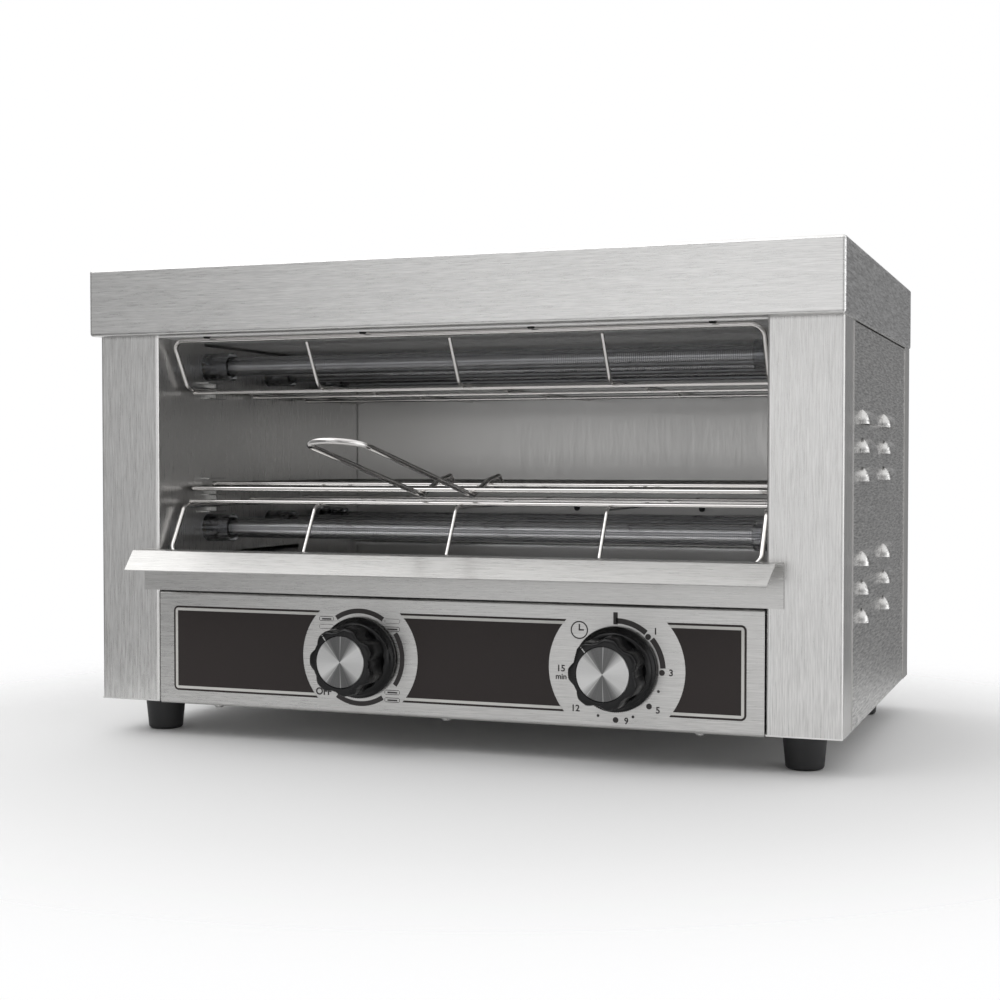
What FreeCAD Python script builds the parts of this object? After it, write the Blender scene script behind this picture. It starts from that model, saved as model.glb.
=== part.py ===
import FreeCAD
import Part
import math
import os

from FreeCAD import Placement, Rotation, Vector

# Counter-top quartz toaster with one rack, a crumb tray and two turning controls.
# Millimetres, +X right, +Y to the back, +Z up, seen from the user's side.
# Heights below are measured from the underside of the cabinet and the feet hang below it.
# export() then lifts the whole onto its feet and centres it front to back.

# Cabinet
cap_width = 450.0
cap_depth = 290.0
cap_height = 40.0
body_height = 219.0
front_overhang = 9.5
side_overhang = 1.8
back_overhang = 1.5
column_width = 40.0
cap_edge_radius = 2.0
cap_front_flange = 32.0
cap_side_flange = 36.0
cap_back_flange = 20.0

# Sheet metal and general clearances
skin = 0.6
plate = 0.8
fold = 1.0
slip = 0.3
touch = 0.02
tab_width = 26.0
tab_end_gap = 14.0

# Side panels and their pressed vents
front_return = 37.0
panel_start = 29.5
panel_top_gap = 1.0
back_return = 24.5
louvre_length = 38.0
louvre_height = 8.0
louvre_depth = 5.0
louvre_pitch = 15.6
louvre_rows = 3
louvre_columns = 2
louvre_first_setback = 72.5
louvre_column_pitch = 91.0
louvre_low_sill = 56.0
louvre_high_sill = 133.2

# Base, feet and shelf
foot_height = 21.0
foot_top_radius = 12.3
foot_bottom_radius = 10.3
foot_edge_radius = 2.0
foot_side_inset = 24.8
foot_end_inset = 31.3
foot_screw_radius = 2.0
foot_head_radius = 4.0
foot_counterbore = 9.0
nut_height = 3.2
nut_width = 7.0
shelf_flange = 10.0

# Back panel
vent_width = 3.2
vent_height = 24.0
vent_pitch = 8.0
vent_count = 8
vent_sill = 20.0
vent_offset = 70.0
back_screw_inset = 24.0
back_screw_low = 22.0
back_screw_pitch = 86.0
back_screw_count = 3
wall_hole_radius = 1.5
wall_hole_x = -8.5
wall_hole_pitch = 91.8
wall_hole_height = 111.0

# Control panel and its dark foil
control_height = 66.8
control_drop = 0.8
control_side_gap = 0.7
control_flange = 12.0
foil_half_width = 173.0
foil_middle = 32.7
foil_height = 50.6
foil_thickness = 0.25
foil_corner = 3.0
foil_ring_radii = (36.2, 38.4)

# Knobs, in the order selector, timer
knob_height = 31.9
knob_x = (-50.8, 101.8)
knob_pointer = (-36.6, -40.2)
knob_gap = 0.9
skirt_radius = 23.3
skirt_edge = 3.6
skirt_rise = 3.6
grip_radius = 20.3
grip_recess = 18.3
grip_lobes = 7
grip_draft = 0.6
knob_length = 25.3
knob_edge = 1.2
insert_radius = 14.6
insert_depth = 1.2
insert_crown = 0.4
shaft_radius = 3.0
shaft_clearance = 0.05
shaft_stop = 4.0
switch_width = 42.0
switch_depth = 36.0
switch_height = 42.0
terminal_width = 6.0
terminal_length = 7.0
terminal_root = 1.0
timer_radius = 24.0
timer_depth = 40.0
bush_radius = 5.0
bush_length = 8.0

# Heating chamber
chamber_lift = 1.1
ceiling_screw_setback = 5.6
ceiling_head_radius = 2.1
ceiling_head_height = 1.1
ceiling_screw_pitch = 102.0
ceiling_screw_count = 4
wall_slot_height = 1.8
wall_slot_start = 54.0
floor_slot_end = 182.0
ceiling_slot_end = 197.0

# Quartz tubes
tube_radius = 6.0
tube_wall = 1.2
tube_drop = 15.5
tube_setback = 58.5
tube_pitch = 81.0
tube_count = 3
coil_radius = 3.4
coil_end_gap = 12.0
pin_radius = 1.0
pin_reach = 9.0
holder_radius = 8.6
holder_reach = 17.7
holder_neck_radius = 7.0
holder_neck = 7.0
holder_end_wall = 3.5
clip_radius = 10.0
bus_width = 9.0
bus_tail = 14.0
lead_radius = 1.3
lead_drop_height = 40.0
lead_bend = 9.0
lead_reach = 34.0
grommet_radius = 5.0
grommet_flange = 7.0

# Wire guards above and below the rack
guard_bar_radius = 1.5
guard_wire_radius = 1.1
guard_rod_gap = 17.3
upper_bar_drop = 2.4
upper_bar_setback = 10.4
lower_bar_rise = 3.9
lower_bar_setback = 5.5
guard_knee_run = 16.9
guard_rod_run = 23.3
guard_rod_pitch = 75.5
guard_rod_count = 3
guard_wire_pitch = 90.0
guard_wires_each_side = 1
guard_corner = 7.0
guard_knee = 5.0
guard_side_gap = 2.8

# Toast rack and its handle
rack_radius = 1.5
rack_rod_radius = 1.25
rack_over_guard = 7.8
rack_setback = 29.2
rack_back_gap = 15.0
rack_side_gap = 2.1
rack_corner = 6.0
rack_rod_setback = 28.3
rack_rod_pitch = 26.0
rack_rod_count = 8
rack_stringer_pitch = 102.0
rack_stringer_lead = 2.0
handle_x = -8.5
handle_spacing = 31.3
handle_reach = 155.8
handle_slope = 10.7
tail_slope = 18.3
tail_end_slope = 8.0
tail_length = 16.0
hook_drop = 3.6
hook_run = 4.0
hook_bend = 2.2

# Guide lugs on the chamber walls
lug_length = 21.0
lug_reach = 5.0
lug_rib_reach = 4.4
lug_setback = 61.0
lug_back_setback = 246.0
lug_outer_gap = 4.5
lug_inner_gap = 5.1
lug_over_rack = 6.0
lug_under_rack = 4.3

# Crumb tray and its front
tray_floor = 84.8
tray_skirt = 4.8
tray_back_gap = 9.1
tray_back_wall = 2.0
tray_front_wall = 5.2
tray_side_gap = 1.3
strip_half_width = 192.5
strip_bottom = 67.2
ledge_height = 91.7
ledge_reach = 15.0
lip_run = 12.4
lip_drop = 10.9
ledge_taper = 1.5
lip_taper = 2.1

# Fasteners and mains entry
screw_radius = 1.6
screw_head_radius = 3.0
screw_head_height = 1.8
screw_hole_gap = 0.1
screw_length = 5.0
gland_inset = 73.2
gland_height = 34.0
gland_bore = 4.0
gland_thread_radius = 7.0
gland_head_radius = 10.0
gland_head_length = 14.0
gland_nut_length = 4.0
gland_tail = 8.0
block_length = 46.0
block_depth = 22.0
block_height = 18.0
block_setback = 40.0

# Planes and heights that several pieces share
half_body = cap_width / 2 - side_overhang
front_y = -cap_depth / 2 + front_overhang
back_y = cap_depth / 2 - back_overhang
chamber_half = half_body - column_width
chamber_middle = (body_height + tray_floor) / 2 + chamber_lift
tube_level = body_height - tube_drop - chamber_middle
guard_rod_level = tube_level - guard_rod_gap
upper_bar_level = body_height - upper_bar_drop - chamber_middle
lower_bar_level = chamber_middle - tray_floor - lower_bar_rise
rack_level = guard_rod_level - rack_over_guard
gland_x = gland_inset - half_body
wall_back = back_y - skin
strip_back = front_y - slip
lip_front = strip_back - plate - ledge_reach - lip_run
shelf_top = tray_floor - plate - tray_skirt - slip / 2
ceiling_z = body_height - plate
foot_x = half_body - foot_side_inset
foot_y = cap_depth / 2 - foot_end_inset - front_overhang
rack_z = chamber_middle - rack_level
rack_front = front_y + rack_setback
rack_half = chamber_half - rack_side_gap - rack_radius
guard_half = chamber_half - guard_side_gap - guard_bar_radius
rail_level = guard_rod_level + guard_wire_radius + guard_bar_radius + touch
tube_ys = [front_y + tube_setback + tube_pitch * i for i in range(tube_count)]
holder_end = chamber_half + holder_neck
handle_front = rack_front - handle_reach - rack_radius
gland_end = wall_back + gland_head_length


def box(x0, x1, y0, y1, z0, z1):
    """Box between two corners."""
    return Part.makeBox(x1 - x0, y1 - y0, z1 - z0, Vector(x0, y0, z0))


def rod(start, end, radius):
    """Round bar between two points."""
    run = Vector(*end) - Vector(*start)
    return Part.makeCylinder(radius, run.Length, Vector(*start), run)


def mirrored(shape):
    """The same piece on the left side."""
    return shape.mirror(Vector(0, 0, 0), Vector(1, 0, 0))


def both_sides(shape):
    """The piece and its mirror image, as separate solids."""
    return [shape, mirrored(shape)]


def upside_down(shape):
    """The same piece on the other side of the chamber's middle plane."""
    return shape.mirror(Vector(0, 0, chamber_middle), Vector(0, 0, 1))


def fused(shapes):
    """One solid out of pieces that overlap or share faces."""
    return shapes[0].multiFuse(shapes[1:]).removeSplitter()


def group(shapes):
    """Separate solids kept together in one node."""
    return Part.makeCompound(list(shapes))


def turned(profile, base, axis):
    """Solid of revolution; profile holds (radius, distance along axis) pairs."""
    points = [Vector(radius, 0, along) for radius, along in profile]
    face = Part.Face(Part.makePolygon(points + [points[0]]))
    solid = face.revolve(Vector(0, 0, 0), Vector(0, 0, 1), 360)
    solid.Placement = Placement(Vector(*base), Rotation(Vector(0, 0, 1), Vector(*axis)))
    return solid


def rounded_corner(before, corner, after, radius):
    """Start, middle, end and centre of the arc that rounds a corner."""
    into = (corner - before).normalize()
    out = (after - corner).normalize()
    turn = into.getAngle(out)
    setback = radius * math.tan(turn / 2)
    start = corner - into * setback
    end = corner + out * setback
    inward = (out - into).normalize()
    centre = corner + inward * (radius / math.cos(turn / 2))
    return start, centre - inward * radius, end, centre


def bent_rod(points, radius, bends):
    """Round bar along straight runs; bends holds the centre-line radius at each inner point."""
    knots = [Vector(*point) for point in points]
    edges = []
    start = knots[0]
    for i, bend_radius in enumerate(bends):
        a, middle, b, centre = rounded_corner(knots[i], knots[i + 1], knots[i + 2], bend_radius)
        if (a - start).Length > touch:
            edges.append(Part.LineSegment(start, a).toShape())
        edges.append(Part.Arc(a, middle, b).toShape())
        start = b
    if (knots[-1] - start).Length > touch:
        edges.append(Part.LineSegment(start, knots[-1]).toShape())
    path = Part.Wire(edges)
    heading = edges[0].tangentAt(edges[0].FirstParameter)
    section = Part.Wire(Part.makeCircle(radius, edges[0].valueAt(edges[0].FirstParameter), heading))
    return path.makePipeShell([section], True, False)


def folded_sheet(points, thickness, plane, low, high):
    """Folded sheet; points trace one face in a plane and the metal lies to their left."""
    traced = [Vector(u, v, 0) for u, v in points]
    near = []
    far = []
    near_start = traced[0]
    heading = (traced[1] - traced[0]).normalize()
    far_start = near_start + Vector(-heading.y, heading.x, 0) * thickness
    for before, corner, after in zip(traced, traced[1:], traced[2:]):
        into = (corner - before).normalize()
        out = (after - corner).normalize()
        towards_metal = into.cross(out).z > 0
        near_radius = fold + thickness if towards_metal else fold
        far_radius = fold if towards_metal else fold + thickness
        a, middle, b, centre = rounded_corner(before, corner, after, near_radius)
        shift_in = Vector(-into.y, into.x, 0) * thickness
        shift_out = Vector(-out.y, out.x, 0) * thickness
        near.append(Part.LineSegment(near_start, a).toShape())
        near.append(Part.Arc(a, middle, b).toShape())
        far_middle = centre + (middle - centre).normalize() * far_radius
        far.append(Part.LineSegment(far_start, a + shift_in).toShape())
        far.append(Part.Arc(a + shift_in, far_middle, b + shift_out).toShape())
        near_start = b
        far_start = b + shift_out
        heading = out
    near_end = traced[-1]
    far_end = near_end + Vector(-heading.y, heading.x, 0) * thickness
    first_far = far[0].valueAt(far[0].FirstParameter) if far else far_start
    near.append(Part.LineSegment(near_start, near_end).toShape())
    far.append(Part.LineSegment(far_start, far_end).toShape())
    ends = [Part.LineSegment(near_end, far_end).toShape(), Part.LineSegment(first_far, traced[0]).toShape()]
    outline = Part.Wire(Part.sortEdges(near + far + ends)[0])
    sheet = Part.Face(outline).extrude(Vector(0, 0, high - low))
    if plane == "xy":
        sheet.Placement = Placement(Vector(0, 0, low), Rotation())
    elif plane == "yz":
        sheet.Placement = Placement(Vector(low, 0, 0), Rotation(Vector(1, 1, 1), 120))
    else:
        sheet.Placement = Placement(Vector(0, high, 0), Rotation(Vector(1, 0, 0), 90))
    return sheet


def pan_screw(head_face, direction, head_radius=screw_head_radius, head_height=screw_head_height):
    """Pan head screw whose head rests on head_face and whose shank runs along direction."""
    profile = [
        (0, -head_height),
        (head_radius * 0.7, -head_height),
        (head_radius, -head_height * 0.45),
        (head_radius, 0),
        (screw_radius, 0),
        (screw_radius, screw_length),
        (0, screw_length),
    ]
    return turned(profile, head_face, direction)


def screw_hole(point, direction, depth):
    """Clearance hole that starts depth before a point and ends depth after it."""
    axis = Vector(*direction)
    start = Vector(*point) - axis * depth
    return Part.makeCylinder(screw_radius + screw_hole_gap, 2 * depth, start, axis)


# Places of fasteners
ceiling_screw_reach = ceiling_screw_pitch * (ceiling_screw_count - 1) / 2
ceiling_screw_xs = [ceiling_screw_pitch * i - ceiling_screw_reach for i in range(ceiling_screw_count)]
ceiling_screw_y = front_y + ceiling_screw_setback
back_screw_x = half_body - back_screw_inset
back_screw_zs = [back_screw_low + back_screw_pitch * i for i in range(back_screw_count)]
panel_screw_xs = [-chamber_half * 0.8, 0.0, chamber_half * 0.8]
panel_screw_y = front_y + control_flange * 0.6
cap_screw_x = cap_width / 2 - cap_side_flange * 0.7
tab_front = front_y + tab_end_gap
tab_back = wall_back - tab_end_gap


def make_top_cap():
    """Lid: a shallow closed box whose lower edges turn inwards as flanges."""
    half = cap_width / 2
    outer = box(-half, half, -cap_depth / 2, cap_depth / 2, body_height, body_height + cap_height)
    outer = outer.makeFillet(cap_edge_radius, outer.Edges)
    inner = box(
        -half + plate,
        half - plate,
        -cap_depth / 2 + plate,
        cap_depth / 2 - plate,
        body_height + plate,
        body_height + cap_height - plate,
    )
    inner = inner.makeFillet(cap_edge_radius - plate, inner.Edges)
    mouth = box(
        -half + cap_side_flange,
        half - cap_side_flange,
        -cap_depth / 2 + cap_front_flange,
        cap_depth / 2 - cap_back_flange,
        body_height - plate,
        body_height + 2 * plate,
    )
    holes = [screw_hole((x, ceiling_screw_y, body_height), (0, 0, 1), 2 * plate) for x in ceiling_screw_xs]
    for x in (-cap_screw_x, cap_screw_x):
        holes += [screw_hole((x, y, body_height), (0, 0, 1), 2 * plate) for y in (-foot_y, foot_y)]
    return outer.cut(inner).cut([mouth] + holes)


def make_side_frame():
    """Right side frame: column, chamber wall, outer return and the tabs it is fixed by."""
    points = [
        (chamber_half + tab_width, wall_back),
        (chamber_half, wall_back),
        (chamber_half, front_y),
        (half_body, front_y),
        (half_body, front_y + front_return),
    ]
    wall = folded_sheet(points, skin, "xy", plate, body_height)
    inside = chamber_half + skin / 2
    outside = chamber_half + tab_width
    low_tab = box(inside, outside, tab_front, tab_back, plate, plate + skin)
    high_tab = box(inside, outside, tab_front, tab_back, body_height - skin, body_height)
    frame = fused([wall, low_tab, high_tab])
    cuts = []
    for y in tube_ys:
        for level in (-tube_level, tube_level):
            z = chamber_middle + level
            hole_radius = holder_neck_radius + screw_hole_gap
            cuts.append(rod((inside - plate, y, z), (inside + plate, y, z), hole_radius))
    start = front_y + wall_slot_start
    for z, end in ((tray_floor, floor_slot_end), (ceiling_z - wall_slot_height, ceiling_slot_end)):
        cuts.append(box(inside - plate, inside + plate, start, front_y + end, z, z + wall_slot_height))
    for y in (-foot_y, foot_y):
        cuts.append(rod((foot_x, y, 0), (foot_x, y, 3 * plate), foot_screw_radius + screw_hole_gap))
        cuts.append(screw_hole((cap_screw_x, y, body_height), (0, 0, 1), 2 * plate))
    for z in back_screw_zs:
        cuts.append(screw_hole((back_screw_x, wall_back, z), (0, 1, 0), 2 * plate))
    for y in lead_ys():
        z = lead_drop_height
        cuts.append(rod((inside - plate, y, z), (inside + plate, y, z), grommet_radius))
    return frame.cut(cuts)


def louvre(length, height, depth):
    """Solid hood, flat against x = 0 and open side down at z = 0, centred along Y."""
    offset = (height ** 2 - depth ** 2) / (2 * depth)
    radius = depth + offset
    middle_angle = math.atan2(height, offset) / 2
    middle = Vector(radius * math.cos(middle_angle) - offset, 0, radius * math.sin(middle_angle))
    arc = Part.Arc(Vector(depth, 0, 0), middle, Vector(0, 0, height)).toShape()
    base = Part.LineSegment(Vector(0, 0, 0), Vector(depth, 0, 0)).toShape()
    wall = Part.LineSegment(Vector(0, 0, height), Vector(0, 0, 0)).toShape()
    section = Part.Face(Part.Wire([base, arc, wall]))
    straight = length / 2 - depth
    section.translate(Vector(0, -straight, 0))
    trunk = section.extrude(Vector(0, 2 * straight, 0))
    front_end = section.revolve(Vector(0, -straight, 0), Vector(0, 0, 1), -90)
    back_end = front_end.mirror(Vector(0, 0, 0), Vector(0, 1, 0))
    return fused([trunk, front_end, back_end])


def make_side_panel():
    """Right side panel with pressed vents, each open at its lower edge."""
    top = body_height - panel_top_gap
    back = wall_back - fold - slip
    panel = box(half_body, half_body + skin, front_y + panel_start, back, plate, top)
    outer = louvre(louvre_length, louvre_height, louvre_depth)
    inner = louvre(louvre_length - 2 * skin, louvre_height - skin, louvre_depth - skin)
    hoods = []
    hollows = []
    for sill in (louvre_low_sill, louvre_high_sill):
        for row in range(louvre_rows):
            for column in range(louvre_columns):
                y = front_y + louvre_first_setback + column * louvre_column_pitch
                z = sill + row * louvre_pitch
                hoods.append(outer.translated(Vector(half_body + skin, y, z)))
                hollows.append(inner.translated(Vector(half_body + skin, y, z)))
                half_window = louvre_length / 2 - louvre_depth
                window = box(
                    half_body - skin,
                    half_body + 2 * skin,
                    y - half_window,
                    y + half_window,
                    z,
                    z + louvre_height - 2 * skin,
                )
                hollows.append(window)
    return fused([panel] + hoods).cut(hollows)


def wall_hole(x, z, radius):
    """Round hole through the back of the cabinet."""
    return rod((x, wall_back - skin, z), (x, back_y + skin, z), radius)


def make_back_panel():
    """Back of the cabinet; its sides wrap forward over the side panels."""
    half = half_body + 2 * skin
    points = [
        (half, back_y - back_return),
        (half, back_y),
        (-half, back_y),
        (-half, back_y - back_return),
    ]
    panel = folded_sheet(points, skin, "xy", plate, body_height)
    cuts = []
    for i in range(vent_count):
        x = vent_offset + vent_pitch * (i - (vent_count - 1) / 2)
        for side in (-1, 1):
            centre = side * x
            slot = box(
                centre - vent_width / 2,
                centre + vent_width / 2,
                wall_back - skin,
                back_y + skin,
                vent_sill,
                vent_sill + vent_height,
            )
            cuts.append(slot.makeFillet(vent_width / 2 - touch, [e for e in slot.Edges if is_along_y(e)]))
    for x in (-back_screw_x, back_screw_x):
        cuts += [screw_hole((x, wall_back, z), (0, 1, 0), 2 * plate) for z in back_screw_zs]
    for x in (-guard_half, guard_half):
        for level in (-rail_level, rail_level):
            z = chamber_middle + level
            cuts.append(wall_hole(x, z, guard_bar_radius + screw_hole_gap))
    for i in (-1, 0, 1):
        cuts.append(wall_hole(wall_hole_x + i * wall_hole_pitch, wall_hole_height, wall_hole_radius))
    cuts.append(wall_hole(gland_x, gland_height, gland_thread_radius + touch))
    return panel.cut(cuts)


def is_along_y(edge):
    """True for an edge parallel to Y."""
    run = edge.Vertexes[-1].Point - edge.Vertexes[0].Point
    return abs(run.y) > 0.9 * run.Length


def make_base_plate():
    """Floor of the cabinet, cut back behind the control panel."""
    base = box(-half_body, half_body, front_y, wall_back, 0, plate)
    notch_depth = plate + fold + slip
    notch = box(-chamber_half, chamber_half, front_y - plate, front_y + notch_depth, -plate, 2 * plate)
    cuts = [notch]
    for x in (-foot_x, foot_x):
        for y in (-foot_y, foot_y):
            cuts.append(rod((x, y, -plate), (x, y, 2 * plate), foot_screw_radius + screw_hole_gap))
    for x in panel_screw_xs:
        cuts.append(screw_hole((x, panel_screw_y, 0), (0, 0, 1), 2 * plate))
    return base.cut(cuts)


def make_shelf():
    """Shelf over the control compartment, which the crumb tray slides on."""
    front = front_y + plate
    points = [
        (wall_back - slip, shelf_top - shelf_flange),
        (wall_back - slip, shelf_top),
        (front, shelf_top),
        (front, strip_bottom + slip),
    ]
    half = chamber_half - touch
    return folded_sheet(points, plate, "yz", -half, half)


def make_control_panel():
    """Front of the control compartment, with flanges on its four sides."""
    half = chamber_half - control_side_gap
    points = [
        (front_y + control_flange, control_height),
        (front_y, control_height),
        (front_y, -control_drop),
        (front_y + control_flange, -control_drop),
    ]
    front = folded_sheet(points, plate, "yz", -half, half)
    inset = fold + plate
    flange_back = front_y + control_flange
    flange = box(half - plate, half, front_y + touch, flange_back, inset, control_height - 2 * inset)
    panel = fused([front] + both_sides(flange))
    holes = []
    for x in knob_x:
        ends = [(x, y, knob_height) for y in (front_y - plate, front_y + 2 * plate)]
        holes.append(rod(ends[0], ends[1], bush_radius))
    for x in panel_screw_xs:
        holes.append(screw_hole((x, panel_screw_y, -control_drop), (0, 0, 1), 2 * plate))
    return panel.cut(holes)


def make_foil():
    """Dark foil band on the control panel, cut away round the two knobs."""
    low = foil_middle - foil_height / 2
    high = foil_middle + foil_height / 2
    band = box(-foil_half_width, foil_half_width, front_y - foil_thickness, front_y, low, high)
    band = band.makeFillet(foil_corner, [e for e in band.Edges if is_along_y(e)])
    rings = []
    for x, radius in zip(knob_x, foil_ring_radii):
        ends = [(x, y, knob_height) for y in (front_y - 2 * foil_thickness, front_y + foil_thickness)]
        rings.append(rod(ends[0], ends[1], radius))
    return band.cut(rings)


def make_ceiling():
    """Plain sheet that closes the chamber above the tubes and hangs from the cap's front flange."""
    half = chamber_half - touch
    front = front_y + skin + fold
    sheet = box(-half, half, front, wall_back - slip, ceiling_z, body_height)
    holes = [screw_hole((x, ceiling_screw_y, ceiling_z), (0, 0, 1), 2 * plate) for x in ceiling_screw_xs]
    return sheet.cut(holes)


def tube_rows():
    """Y and Z of every tube, lower row first."""
    return [(y, chamber_middle + level) for level in (-tube_level, tube_level) for y in tube_ys]


def make_quartz_tube(y, z):
    """One clear quartz tube between its two holders."""
    half = holder_end - holder_end_wall - touch
    outer = rod((-half, y, z), (half, y, z), tube_radius)
    bore = rod((-half - 1, y, z), (half + 1, y, z), tube_radius - tube_wall)
    return outer.cut(bore)


def make_heating_coils(level):
    """Heating wires of one row of tubes, each with a pin at both ends."""
    coils = []
    half = holder_end - holder_end_wall - coil_end_gap
    reach = holder_end + pin_reach
    for y in tube_ys:
        z = chamber_middle + level
        core = rod((-half, y, z), (half, y, z), coil_radius)
        pin = rod((-reach, y, z), (reach, y, z), pin_radius)
        coils.append(fused([core, pin]))
    return group(coils)


def make_holders():
    """Ceramic holders on the right: a head in the chamber and a neck through the wall."""
    holders = []
    for y, z in tube_rows():
        profile = [
            (tube_radius + touch, -holder_reach),
            (holder_radius, -holder_reach),
            (holder_radius, -touch),
            (holder_neck_radius, -touch),
            (holder_neck_radius, holder_neck),
            (pin_radius + touch, holder_neck),
            (pin_radius + touch, holder_neck - holder_end_wall),
            (tube_radius + touch, holder_neck - holder_end_wall),
        ]
        holders.append(turned(profile, (chamber_half, y, z), (1, 0, 0)))
    return holders


def make_holder_clips():
    """Spring rings that keep the right-hand holders in the wall."""
    clips = []
    for y, z in tube_rows():
        profile = [
            (holder_neck_radius + touch, skin),
            (clip_radius, skin),
            (clip_radius, skin + plate),
            (holder_neck_radius + touch, skin + plate),
        ]
        clips.append(turned(profile, (chamber_half, y, z), (1, 0, 0)))
    return clips


def bus_end(level):
    """Y of the tail of a bus bar; the lower one is longer, so that the leads stay apart."""
    return tube_ys[-1] + bus_tail + (bus_tail if level < 0 else 0)


def lead_ys():
    """Y of the two leads on each side."""
    return [bus_end(level) - bus_width / 2 for level in (-tube_level, tube_level)]


def make_bus_bars():
    """Flat bars on the right that join the pins of a row of tubes."""
    x = holder_end + pin_reach / 3
    bars = []
    for level in (-tube_level, tube_level):
        z = chamber_middle + level
        low = z - bus_width / 2
        bar = box(x, x + plate, tube_ys[0] - bus_width, bus_end(level), low, low + bus_width)
        holes = [rod((x - 1, y, z), (x + plate + 1, y, z), pin_radius + touch) for y in tube_ys]
        bars.append(bar.cut(holes))
    return bars


def make_leads():
    """Leads on the right, from each bus bar down the side cavity into the control compartment."""
    x = holder_end + pin_reach / 3 + plate + lead_radius
    inner = chamber_half - lead_reach
    leads = []
    for level, y in zip((-tube_level, tube_level), lead_ys()):
        top = chamber_middle + level
        points = [(x, y, top), (x, y, lead_drop_height), (inner, y, lead_drop_height)]
        leads.append(bent_rod(points, lead_radius, [lead_bend]))
    return leads


def make_grommets():
    """Grommets where the right-hand leads pass the chamber wall."""
    grommets = []
    for y in lead_ys():
        profile = [
            (lead_radius + touch, -plate),
            (grommet_flange, -plate),
            (grommet_flange, -touch),
            (grommet_radius - touch, -touch),
            (grommet_radius - touch, skin + plate),
            (lead_radius + touch, skin + plate),
        ]
        grommets.append(turned(profile, (chamber_half, y, lead_drop_height), (1, 0, 0)))
    return grommets


def make_guard(bar_setback, bar_level):
    """Guard under the upper tubes: its bent frame wire, then its cross rods and lengthwise wires."""
    bar_y = front_y + bar_setback
    bar_z = chamber_middle + bar_level
    knee_y = bar_y + guard_knee_run
    rail_z = chamber_middle + rail_level
    rod_z = chamber_middle + guard_rod_level
    wire_z = rod_z + 2 * guard_wire_radius + touch
    end_y = back_y - touch
    frame = bent_rod(
        [
            (-guard_half, end_y, rail_z),
            (-guard_half, knee_y, rail_z),
            (-guard_half, bar_y, bar_z),
            (guard_half, bar_y, bar_z),
            (guard_half, knee_y, rail_z),
            (guard_half, end_y, rail_z),
        ],
        guard_bar_radius,
        [guard_knee, guard_corner, guard_corner, guard_knee],
    )
    wires = []
    for i in range(guard_rod_count):
        y = bar_y + guard_rod_run + i * guard_rod_pitch
        wires.append(rod((-guard_half, y, rod_z), (guard_half, y, rod_z), guard_wire_radius))
    slope = Vector(0, knee_y - bar_y, wire_z - bar_z).normalize()
    start = Vector(0, bar_y, bar_z) + slope * (guard_bar_radius + guard_wire_radius)
    for i in range(-guard_wires_each_side, guard_wires_each_side + 1):
        x = i * guard_wire_pitch
        points = [(x, start.y, start.z), (x, knee_y, wire_z), (x, wall_back - slip, wire_z)]
        wires.append(bent_rod(points, guard_wire_radius, [guard_knee]))
    return frame, wires


def make_rack_frame():
    """Closed frame wire of the sliding rack."""
    rack_back = wall_back - rack_back_gap
    y_middle = (rack_front + rack_back) / 2
    corners = [
        (rack_half, y_middle, rack_z),
        (rack_half, rack_front, rack_z),
        (-rack_half, rack_front, rack_z),
        (-rack_half, rack_back, rack_z),
        (rack_half, rack_back, rack_z),
        (rack_half, y_middle, rack_z),
    ]
    return bent_rod(corners, rack_radius, [rack_corner] * 4)


def make_rack_wires():
    """Cross rods on top of the rack's frame and stringers below them."""
    rack_back = wall_back - rack_back_gap
    rod_z = rack_z + rack_radius + rack_rod_radius + touch
    stringer_z = rod_z - 2 * rack_rod_radius - touch
    first_rod = rack_front + rack_rod_setback
    wires = []
    for i in range(rack_rod_count):
        y = first_rod + i * rack_rod_pitch
        wires.append(rod((-rack_half, y, rod_z), (rack_half, y, rod_z), rack_rod_radius))
    for i in (-1, 0, 1):
        x = i * rack_stringer_pitch
        start = first_rod - rack_stringer_lead
        end = rack_back - rack_radius - touch
        wires.append(rod((x, start, stringer_z), (x, end, stringer_z), rack_rod_radius))
    return wires


def crossing(point_a, slope_a, point_b, slope_b):
    """Where two lines given by a point and a slope cross, in (y, z)."""
    y = (point_b[1] - point_a[1] + slope_a * point_a[0] - slope_b * point_b[0]) / (slope_a - slope_b)
    return y, point_a[1] + slope_a * (y - point_a[0])


def make_rack_handle():
    """Wire handle that grips under the front rod and over the first cross rod of the rack."""
    fall = -math.tan(math.radians(handle_slope))
    rise = math.tan(math.radians(tail_slope))
    gentle = math.tan(math.radians(tail_end_slope))
    under = rack_radius + rack_radius + touch
    over = rack_rod_radius + rack_radius + touch
    front_rod = (rack_front, rack_z)
    cross_rod = (rack_front + rack_rod_setback, rack_z + rack_radius + rack_rod_radius + touch)
    # A line with slope s that passes a rod at distance d lies d / cos(atan(s)) above or below it.
    arm_line = (front_rod[0], front_rod[1] - under * math.hypot(1, fall))
    tail_line = (front_rod[0], front_rod[1] - under * math.hypot(1, rise))
    end_line = (cross_rod[0], cross_rod[1] + over * math.hypot(1, gentle))
    low_y, low_z = crossing(arm_line, fall, tail_line, rise)
    top_y, top_z = crossing(tail_line, rise, end_line, gentle)
    loop_y = handle_front + rack_radius
    loop_z = arm_line[1] + fall * (loop_y - arm_line[0])
    hook_y = cross_rod[0] + tail_length
    hook_z = end_line[1] + gentle * tail_length
    side = [
        (hook_y + hook_run, hook_z - hook_drop),
        (hook_y, hook_z),
        (top_y, top_z),
        (low_y, low_z),
        (loop_y, loop_z),
    ]
    bends = [hook_bend, 2 * over, under]
    half = handle_spacing / 2
    left = [(handle_x - half, y, z) for y, z in side]
    right = [(handle_x + half, y, z) for y, z in reversed(side)]
    return bent_rod(left + right, rack_radius, bends + [half - touch, half - touch] + bends[::-1])


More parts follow.
